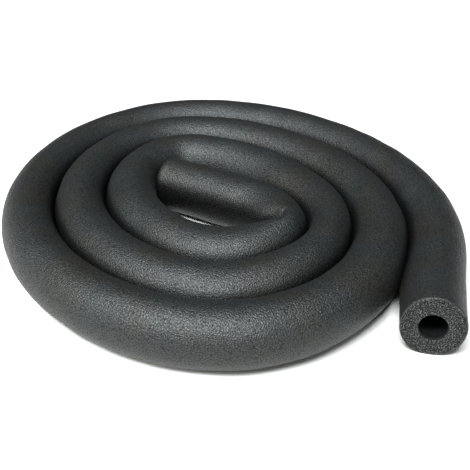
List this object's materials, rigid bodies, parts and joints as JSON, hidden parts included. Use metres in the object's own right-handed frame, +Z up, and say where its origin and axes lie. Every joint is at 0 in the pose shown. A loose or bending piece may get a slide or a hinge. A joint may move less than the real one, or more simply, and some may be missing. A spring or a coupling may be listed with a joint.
{
  "type": "pipe insulation lagging",
  "caption": "Flexible black foam tube with a through bore, wound flat into an oval coil, to be slipped over a pipe as thermal insulation.",
  "frame": {"origin": "middle of the coil's box at the level of the floor that it lies on", "axes": "+Z up through the flat coil, -Y the way the cut outer end faces, +X the side on which that end leaves the coil"},
  "size_m": [0.3148, 0.3044, 0.0369],
  "materials": {
    "foam": "matte"
  },
  "bodies": {
    "root": {"insulation_tube": "foam"}
  },
  "joints": []
}
